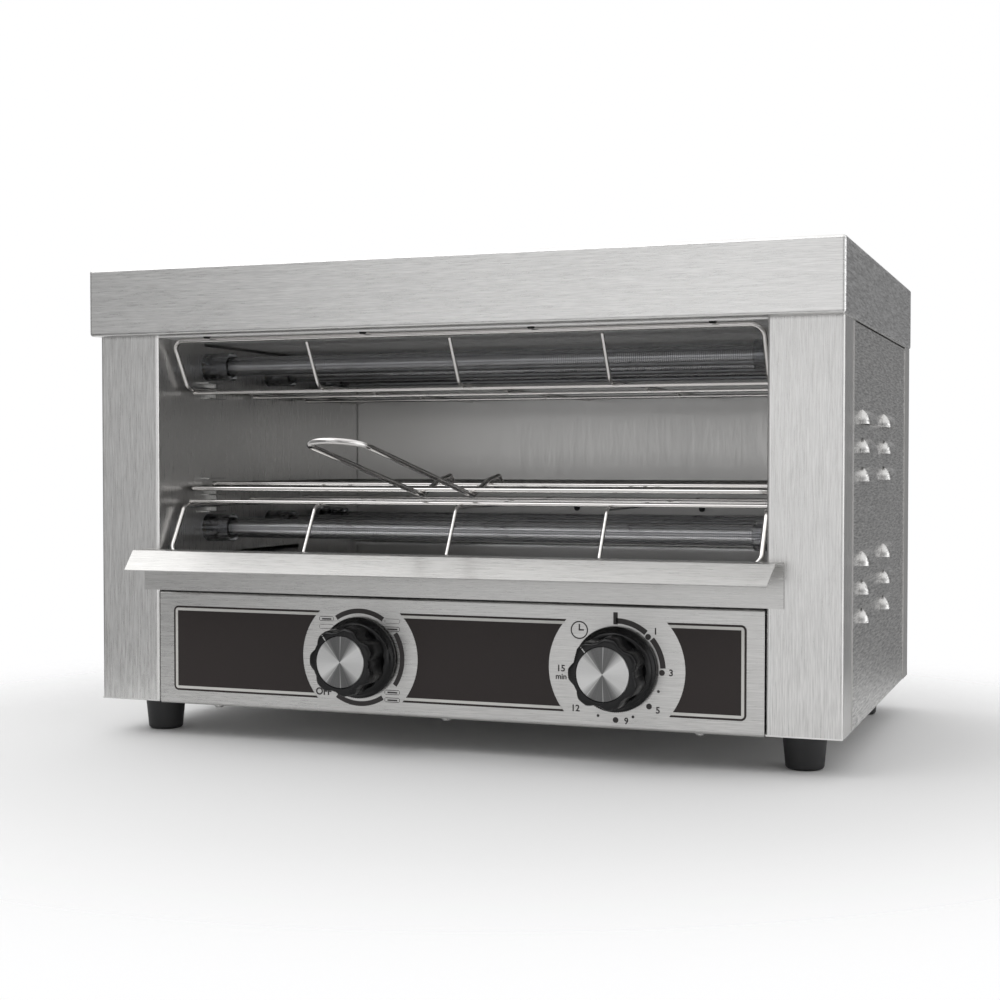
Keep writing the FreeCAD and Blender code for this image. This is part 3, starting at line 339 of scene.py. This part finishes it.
# The upright grain is painted 15 % lighter where it lines the chamber: painted light
steel_z = brushed("steel_grain_upright", "z", contrast=0.19, bump=0.2, inside=1.15)
steel_smooth = brushed("steel_smooth", "z", DULL_STEEL, contrast=0.008, bump=0.02, roughness=0.36)
steel_bright = brushed("steel_bright", "x", (0.95, 0.945, 0.94, 1.0), roughness=0.13, contrast=0.02,
                       bump=0.02, streak=0.1)
steel_ceiling = brushed("steel_ceiling", "x", (0.97, 0.965, 0.96, 1.0), roughness=0.3, contrast=0.02,
                        bump=0.02, streak=0.1, metallic=0.3)
wire_metal = plain_metal("polished_wire", (0.7, 0.685, 0.67, 1), 0.06)
plated = plain_metal("plated_steel", (0.55, 0.55, 0.54, 1), 0.3)
dark_screw = plain_metal("blackened_screw", (0.03, 0.03, 0.03, 1), 0.4)
brass = plain_metal("brass_bar", (0.72, 0.55, 0.27, 1), 0.35)
coil_metal = heating_coil()
ceramic = moulded("dark_ceramic", rgb(30, 30, 31), 0.5)
rubber = moulded("black_rubber", rgb(30, 30, 31), 0.55)
knob_black = moulded("black_knob", rgb(12, 12, 13), 0.26, bump=0.04, specular=0.32)
black_plastic = moulded("black_plastic", rgb(38, 38, 39), 0.5)
cream = moulded("cream_plastic", rgb(222, 214, 190), 0.35)
sleeve = moulded("lead_sleeve", rgb(226, 224, 216), 0.6)
print_dark = moulded("dark_print", rgb(44, 40, 40), 0.5, bump=0.02)
print_white = moulded("white_print", rgb(168, 168, 167), 0.5, bump=0.02, spread=0.03)
quartz_tube = quartz()

# Materials by the whole name of a node, then by a part of its name
DRESS = {
    "top_cap": steel_x,
    "left_side_frame": steel_z,
    "right_side_frame": steel_z,
    "left_side_panel": steel_y,
    "right_side_panel": steel_y,
    "back_panel": steel_smooth,
    "base_plate": steel_x,
    "tray_shelf": steel_x,
    "control_panel": steel_panel,
    "ceiling_reflector": steel_ceiling,
    "crumb_tray": steel_bright,
    "tray_front": steel_panel,
    "control_foil": foil(),
    "selector_insert": spun("spun_disc_selector", KNOB_X["selector"], KNOB_HEIGHT),
    "timer_insert": spun("spun_disc_timer", KNOB_X["timer"], KNOB_HEIGHT),
    "ceiling_screws": dark_screw,
    "selector_switch": black_plastic,
    "timer": black_plastic,
    "cable_gland": black_plastic,
    "gland_nut": black_plastic,
    "terminal_block": cream,
}
DRESS_BY_WORD = (
    ("_tube", quartz_tube), ("guard", wire_metal), ("rack", wire_metal), ("heating", coil_metal),
    ("holders", ceramic), ("clips", plated), ("screws", plated), ("nuts", plated), ("lugs", plated),
    ("bus_bars", brass), ("leads", sleeve), ("grommets", rubber), ("_foot", rubber), ("_shaft", plated),
    ("_knob", knob_black),
)


def dress_nodes():
    """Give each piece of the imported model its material."""
    for name, node in nodes.items():
        material = DRESS.get(name)
        if material is None:
            material = next(m for word, m in DRESS_BY_WORD if word in name)
        node.data.materials.clear()
        node.data.materials.append(material)


def new_object(name, mesh, body, material, smooth=False):
    """Object from a bmesh, riding on a body."""
    data = bpy.data.meshes.new(name)
    bmesh.ops.recalc_face_normals(mesh, faces=mesh.faces)
    mesh.to_mesh(data)
    mesh.free()
    if smooth:
        data.shade_smooth()
        data.set_sharp_from_angle(angle=math.radians(38))
    obj = bpy.data.objects.new(name, data)
    bpy.context.scene.collection.objects.link(obj)
    obj.data.materials.append(material)
    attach(obj, body)
    return obj


# Knobs, in millimetres
LOBES = 7
LOBE_MIDDLE, LOBE_SWING, LOBE_ROUNDNESS = 0.56, 0.72, 0.8
RIBS = 126
RIB_DEPTH = 0.3
SEGMENTS = 4 * RIBS
# Section from the panel over the skirt, shoulder, groove and grip to the disc: distance from the knob's
# back, radius, how far the lobes stand out, and the share of the ribs' depth
KNOB_SECTION = (
    (0.0, 3.2, 0.0, 0.0), (0.0, 23.0, 0.0, 0.0), (0.3, 23.3, 0.0, 1.0), (2.5, 23.3, 0.0, 1.0),
    (3.3, 22.8, 0.0, 0.6), (3.8, 22.0, 0.0, 0.0), (5.0, 21.4, 0.0, 0.0), (6.0, 20.7, 0.0, 0.0),
    (6.7, 19.7, 0.0, 0.0), (6.9, 18.6, 0.0, 0.0), (6.3, 17.4, 1.4, 0.0), (7.4, 17.6, 2.1, 0.0),
    (9.0, 17.7, 2.2, 0.0), (16.0, 17.5, 2.2, 0.0), (23.6, 17.3, 2.1, 0.0), (24.6, 17.0, 1.9, 0.0),
    (25.1, 16.5, 1.5, 0.0), (25.3, 15.9, 1.1, 0.0), (25.3, 14.9, 0.0, 0.0), (25.0, 14.65, 0.0, 0.0),
    (24.1, 14.62, 0.0, 0.0), (24.1, 3.2, 0.0, 0.0),
)
# White pointer on the ring round the disc: inner and outer end, and distance from the knob's back
POINTER_STRIPS = ((14.75, 17.4, 25.35), (17.4, 18.45, 25.05))
POINTER_HALF_WIDTH = 0.3
PRINT_DEPTH = 0.00006


def lobe(angle, pointer):
    """How far out the grip stands at an angle: 1 on a lobe, 0 in a flute.

    The wave is cut off above 1, so that the lobes are broad and the flutes between them are narrow."""
    wave = math.cos(LOBES * (angle - math.radians(pointer)))
    return min(1.0, max(0.0, LOBE_MIDDLE + LOBE_SWING * wave)) ** LOBE_ROUNDNESS


def rib(angle):
    """Depth of the fine ribs round the skirt."""
    return RIB_DEPTH * (0.5 - 0.5 * math.cos(angle * RIBS))


def add_prism(mesh, x, z, corners, front, depth=PRINT_DEPTH):
    """Thin plate whose outline in (x, z) is given round a centre and whose face is at front."""
    face, back = (
        [mesh.verts.new((x + c[0], y, z + c[2])) for c in corners] for y in (front, front + depth)
    )
    mesh.faces.new(face)
    mesh.faces.new(list(reversed(back)))
    for i in range(len(corners)):
        j = (i + 1) % len(corners)
        mesh.faces.new((face[i], back[i], back[j], face[j]))


def make_knob(control, body):
    """Knob: a ribbed skirt, a domed shoulder, a groove and a grip with lobes round a metal disc."""
    x = KNOB_X[control]
    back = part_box(control + "_knob")[1].y
    pointer = POINTER[control]
    mesh = bmesh.new()
    loops = []
    for along, radius, lobes, ribs in KNOB_SECTION:
        loop = []
        for i in range(SEGMENTS):
            angle = 2 * math.pi * i / SEGMENTS
            r = (radius + lobes * lobe(angle, pointer) - ribs * rib(angle)) / 1000
            place = (x + r * math.sin(angle), back - along / 1000, KNOB_HEIGHT + r * math.cos(angle))
            loop.append(mesh.verts.new(place))
        loops.append(loop)
    for inner, outer in zip(loops, loops[1:] + loops[:1]):
        for i in range(SEGMENTS):
            j = (i + 1) % SEGMENTS
            mesh.faces.new((inner[i], inner[j], outer[j], outer[i]))
    knob = new_object(control + "_knob_detail", mesh, body, knob_black, smooth=True)
    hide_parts(control + "_knob")
    mesh = bmesh.new()
    out = polar(1, pointer)
    side = Vector((out.z, 0, -out.x)) * POINTER_HALF_WIDTH
    for low, high, depth in POINTER_STRIPS:
        corners = [out * low - side, out * high - side, out * high + side, out * low + side]
        add_prism(mesh, x, KNOB_HEIGHT, corners, back - depth / 1000)
    new_object(control + "_pointer", mesh, body, print_white)


# Dials printed on the control panel; millimetres, angles in degrees clockwise from the top
PRINT_FACE = FRONT - 0.00005
SELECTOR_BAND = (25.2, 28.0)
SELECTOR_ARCS = ((-33.5, 33.5), (57.0, 124.5), (147.5, 212.5))
# Each sign of the two elements: left and right edge, then height and fill of the upper and lower one
SELECTOR_SIGNS = (
    (-76.4, -67.2, ((53.4, True), (48.9, False))),
    (-35.0, -25.6, ((53.3, False), (48.8, True))),
    (-35.2, -25.8, ((12.7, True), (8.3, True))),
)
SIGN_HALF_HEIGHT = 1.35
SIGN_CORNER = 0.5
# Lines of a filled and of an empty element, and the fill's gaps to its left, right, lower and upper edge
FILLED_LINE, EMPTY_LINE = 0.32, 0.2
FILL_GAPS = (1.8, 1.5, 0.8, 1.05)
TIMER_BAND = (24.6, 27.6)
TIMER_ARCS = ((0.0, 39.6), (49.8, 87.0))
# Centre and radius of each dot
TIMER_DOTS = (
    (119.6, 49.9, 1.6), (127.3, 30.9, 1.6), (125.4, 20.8, 0.8), (120.2, 12.5, 1.6), (111.3, 6.4, 0.8),
    (101.6, 4.2, 1.6), (91.7, 6.1, 0.8),
)
# Bars, by their left, right, lower and upper edge: the mark at 0 and the hands of the small clock
ZERO_MARK = (100.2, 102.7, 56.0, 62.6)
CLOCK_HANDS = ((80.6, 81.4, 52.0, 55.6), (80.6, 83.6, 52.0, 52.8))
CLOCK_X, CLOCK_Z = 81.0, 52.3
CLOCK_BAND = (4.25, 4.95)
# How much the letters' outlines are thickened, for letters 1 high
LABEL_WEIGHT = 0.025
# Name of the piece, its text, its centre and its height
LABELS = (
    ("label_off", "OFF", -73.7, 11.3, 4.3), ("label_1", "1", 123.7, 53.1, 3.6),
    ("label_3", "3", 132.3, 31.1, 3.7), ("label_5", "5", 125.1, 10.7, 3.7),
    ("label_9", "9", 107.6, 4.0, 3.7), ("label_12", "12", 79.2, 9.6, 3.7),
    ("label_15", "15", 70.8, 31.0, 3.7), ("label_min", "min", 70.6, 26.4, 3.0),
)


def polar(radius, angle):
    """Point at a radius in millimetres and a clockwise angle from the top."""
    turn = math.radians(angle)
    return Vector((radius * math.sin(turn), 0, radius * math.cos(turn))) / 1000


def circle(radius, count):
    """Corners of a circle of a radius in millimetres."""
    return [polar(radius, 360 * i / count) for i in range(count)]


def add_arc(mesh, x, z, band, start, end):
    """Printed band along an arc."""
    inner, outer = band
    steps = max(4, int(abs(end - start) / 3))
    angles = [start + (end - start) * i / steps for i in range(steps + 1)]
    for a, b in zip(angles, angles[1:]):
        corners = [polar(inner, a), polar(outer, a), polar(outer, b), polar(inner, b)]
        add_prism(mesh, x, z, corners, PRINT_FACE)


def add_bar(mesh, x0, x1, z0, z1):
    """Printed bar between two corners."""
    corners = [Vector((a, 0, b)) / 1000 for a, b in ((x0, z0), (x1, z0), (x1, z1), (x0, z1))]
    add_prism(mesh, 0, LIFT, corners, PRINT_FACE)


def add_element(mesh, x0, x1, height, filled):
    """Printed sign of one heating element: an outline with open corners, and a fill if it is on."""
    z0, z1 = height - SIGN_HALF_HEIGHT, height + SIGN_HALF_HEIGHT
    line = FILLED_LINE if filled else EMPTY_LINE
    add_bar(mesh, x0 + SIGN_CORNER, x1 - SIGN_CORNER, z0, z0 + line)
    add_bar(mesh, x0 + SIGN_CORNER, x1 - SIGN_CORNER, z1 - line, z1)
    add_bar(mesh, x0, x0 + line, z0 + SIGN_CORNER * 0.9, z1 - SIGN_CORNER * 0.9)
    add_bar(mesh, x1 - line, x1, z0 + SIGN_CORNER * 0.9, z1 - SIGN_CORNER * 0.9)
    if filled:
        left, right, low, high = FILL_GAPS
        add_bar(mesh, x0 + left, x1 - right, z0 + low, z1 - high)


def make_selector_print():
    """Selector dial: arcs for the heating ranges and a sign of two elements at each."""
    mesh = bmesh.new()
    for start, end in SELECTOR_ARCS:
        add_arc(mesh, KNOB_X["selector"], KNOB_HEIGHT, SELECTOR_BAND, start, end)
    for x0, x1, elements in SELECTOR_SIGNS:
        for height, filled in elements:
            add_element(mesh, x0, x1, height, filled)
    new_object("selector_dial_print", mesh, "housing", print_dark)


def make_timer_print():
    """Timer dial: a mark at 0, two arcs, dots for the minutes and a small clock."""
    mesh = bmesh.new()
    for start, end in TIMER_ARCS:
        add_arc(mesh, KNOB_X["timer"], KNOB_HEIGHT, TIMER_BAND, start, end)
    add_bar(mesh, *ZERO_MARK)
    for x, z, radius in TIMER_DOTS:
        add_prism(mesh, x / 1000, z / 1000 + LIFT, circle(radius, 24), PRINT_FACE)
    add_arc(mesh, CLOCK_X / 1000, CLOCK_Z / 1000 + LIFT, CLOCK_BAND, 0, 360)
    for hand in CLOCK_HANDS:
        add_bar(mesh, *hand)
    new_object("timer_dial_print", mesh, "housing", print_dark)


def make_label(name, text, x, z, height):
    """Printed word or number, centred on a place and as tall as given."""
    curve = bpy.data.curves.new(name + "_outline", "FONT")
    curve.body = text
    curve.resolution_u = 4
    curve.offset = LABEL_WEIGHT
    source = bpy.data.objects.new(name + "_outline", curve)
    bpy.context.scene.collection.objects.link(source)
    data = bpy.data.meshes.new_from_object(source)
    bpy.data.objects.remove(source)
    bpy.data.curves.remove(curve)
    xs = [v.co.x for v in data.vertices]
    ys = [v.co.y for v in data.vertices]
    scale = height / 1000 / (max(ys) - min(ys))
    middle_x, middle_y = (max(xs) + min(xs)) / 2, (max(ys) + min(ys)) / 2
    mesh = bmesh.new()
    mesh.from_mesh(data)
    bpy.data.meshes.remove(data)
    for vert in mesh.verts:
        across = (vert.co.x - middle_x) * scale
        up = (vert.co.y - middle_y) * scale
        vert.co = Vector((x / 1000 + across, PRINT_FACE, z / 1000 + LIFT + up))
    extruded = bmesh.ops.extrude_face_region(mesh, geom=list(mesh.faces))
    for item in extruded["geom"]:
        if isinstance(item, bmesh.types.BMVert):
            item.co.y += PRINT_DEPTH
    new_object(name, mesh, "housing", print_dark)


# Rivets in the chamber's back wall, in millimetres: places, and the shank's and the head's radius, back
# and front from the wall
RIVET_X = (-100.3, -8.5, 83.3)
RIVET_HEIGHT = 111.0
RIVET_STEPS = ((1.45, 0.3, -0.6), (2.2, -0.6, -1.1))


def make_wall_rivets():
    """Dark blind rivets in the three small holes of the chamber's back wall."""
    mesh = bmesh.new()
    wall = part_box("ceiling_reflector")[1].y + 0.0003
    for x in RIVET_X:
        for radius, back, front in RIVET_STEPS:
            face, depth = wall + front / 1000, (back - front) / 1000
            add_prism(mesh, x / 1000, RIVET_HEIGHT / 1000 + LIFT, circle(radius, 20), face, depth)
    new_object("wall_rivets", mesh, "housing", dark_screw)


# Floor: matt and pale near the object, and gone further out, where the studio shows
FLOOR_HALF = 1.2
FLOOR_HEIGHT = -0.0002
FADE_START, FADE_END = 0.25, 0.54


def make_floor():
    """Plain floor that fades out round the object."""
    m = Surface("stage_floor")
    m.set(Base_Color=(0.77, 0.77, 0.77, 1), Roughness=0.9, Specular_IOR_Level=0.05)
    distance = m.vector("LENGTH", m.vector("MULTIPLY", m.position(), (1.0, 1.0, 0.0)))
    fade = m.ramp(distance, 0.0, 1.0, FADE_START, FADE_END, "SMOOTHERSTEP")
    clear = m.add("ShaderNodeBsdfTransparent").outputs["BSDF"]
    blend = m.add("ShaderNodeMixShader", {0: fade, 1: m.shader.outputs["BSDF"], 2: clear})
    m.put(m.output, "Surface", blend.outputs["Shader"])
    mesh = bmesh.new()
    corners = ((-1, -1), (1, -1), (1, 1), (-1, 1))
    mesh.faces.new([mesh.verts.new((x * FLOOR_HALF, y * FLOOR_HALF, FLOOR_HEIGHT)) for x, y in corners])
    data = bpy.data.meshes.new("stage_floor")
    mesh.to_mesh(data)
    mesh.free()
    floor = bpy.data.objects.new("stage_floor", data)
    bpy.context.scene.collection.objects.link(floor)
    floor.data.materials.append(m.material)


# Light of the studio by direction. Round the object: degrees clockwise from the back, then the level.
STUDIO = (
    (-180, 1.2), (-172, 1.22), (-160, 0.96), (-146, 0.44), (-130, 0.3), (-90, 0.3), (-60, 0.6), (-42, 1.0),
    (-3, 1.0), (3, 0.24), (46, 0.18), (62, 0.5), (74, 1.5), (120, 1.5), (134, 0.9), (148, 0.8), (156, 0.5),
    (163, 0.5), (171, 0.9), (180, 1.2),
)
# Above the object: part of the direction that points right, then the level; and the upward parts
# between which this light takes over from the one round the object
OVERHEAD = ((-0.6, 2.0), (-0.36, 1.5), (0.05, 1.1))
OVERHEAD_START, OVERHEAD_END = 0.32, 0.8
# Darker belts in front, below and above the levels that the upright faces mirror: upward part of the
# direction, then how much of the dark tone it has; and the same by the part that points back
BELTS = (
    (-0.55, 1.0), (-0.15, 0.26), (-0.055, 0.0), (0.2, 0.0), (0.26, 1.0), (0.42, 1.0), (0.52, 0.0),
)
AHEAD = ((-0.4, 1.0), (-0.1, 0.0))
BELT_TONE = (0.06, 0.06, 0.06, 1)
# A colour ramp holds levels up to 1, so they are shares of this strength
BRIGHTEST = 2.0


def studio_curve(w, value, half, points, easing="LINEAR", blue=1.0):
    """Grey along a value of -half to half, as a curve through points of (value, level)."""
    ramp = w.add("ShaderNodeValToRGB", {"Fac": w.ramp(value, 0.0, 1.0, -half, half)})
    ramp.color_ramp.interpolation = easing
    stops = ramp.color_ramp.elements
    stops.remove(stops[1])
    for i, (place, level) in enumerate(points):
        position = place / half / 2 + 0.5
        stop = stops[0] if i == 0 else stops.new(position)
        stop.position = position
        stop.color = (level, level, level * blue, 1)
    return ramp.outputs["Color"]


def make_world():
    """Studio that changes with direction: pale behind, bright above, darker to the sides."""
    world = bpy.data.worlds.new("studio")
    bpy.context.scene.world = world
    w = Nodes(world)
    direction = w.split(w.add("ShaderNodeTexCoord").outputs["Generated"])
    azimuth = w.math("ARCTAN2", direction["X"], direction["Y"])
    levels = [(math.radians(degrees), level / BRIGHTEST) for degrees, level in STUDIO]
    around = studio_curve(w, azimuth, math.pi, levels, "EASE", 1.005)
    levels = [(place, level / BRIGHTEST) for place, level in OVERHEAD]
    overhead = studio_curve(w, direction["X"], 1.0, levels)
    high = w.ramp(direction["Z"], 0.0, 1.0, OVERHEAD_START, OVERHEAD_END, "SMOOTHERSTEP")
    studio = w.mix(high, around, overhead)
    belt = studio_curve(w, direction["Z"], 1.0, BELTS)
    ahead = studio_curve(w, direction["Y"], 1.0, AHEAD)
    studio = w.mix(w.math("MULTIPLY", belt, ahead), studio, BELT_TONE)
    background = w.tree.nodes["Background"]
    w.put(background, "Color", studio)
    w.put(background, "Strength", BRIGHTEST)


def area_light(name, place, target, size, power):
    """Soft square lamp that faces a target."""
    data = bpy.data.lights.new(name, "AREA")
    data.size = size
    data.energy = power
    lamp = bpy.data.objects.new(name, data)
    lamp.location = place
    lamp.rotation_euler = (Vector(target) - Vector(place)).to_track_quat("-Z", "Y").to_euler()
    bpy.context.scene.collection.objects.link(lamp)


# Camera fitted to the photograph: focal length and optical centre in its pixels, place on the cabinet's
# own measures, degrees down and degrees to the left
PICTURE = 1000
FOCAL = 1641.62
CENTRE_X, CENTRE_Y = 494, 510
SENSOR = 36
CAMERA_PLACE = (0.349706, -0.986896 + SHIFT, 0.142953 + LIFT)
CAMERA_DOWN, CAMERA_LEFT = 1.627, 20.5


def make_camera():
    """The photograph's camera."""
    data = bpy.data.cameras.new("camera")
    data.lens = FOCAL * SENSOR / PICTURE
    data.sensor_width = SENSOR
    data.shift_x = (PICTURE / 2 - CENTRE_X) / PICTURE
    data.shift_y = (CENTRE_Y - PICTURE / 2) / PICTURE
    data.clip_end = 60
    camera = bpy.data.objects.new("camera", data)
    camera.location = CAMERA_PLACE
    camera.rotation_euler = (math.radians(90 - CAMERA_DOWN), 0, math.radians(CAMERA_LEFT))
    bpy.context.scene.collection.objects.link(camera)
    bpy.context.scene.camera = camera


dress_nodes()
make_knob("selector", "selector")
make_knob("timer", "timer_control")
make_selector_print()
make_timer_print()
for label in LABELS:
    make_label(*label)
make_wall_rivets()
make_floor()
make_world()
area_light("key_light", (-0.9, -1.6, 2.0), (0, 0, 0.12), 1.4, 8)
make_camera()

bpy.context.scene.view_settings.view_transform = "Standard"
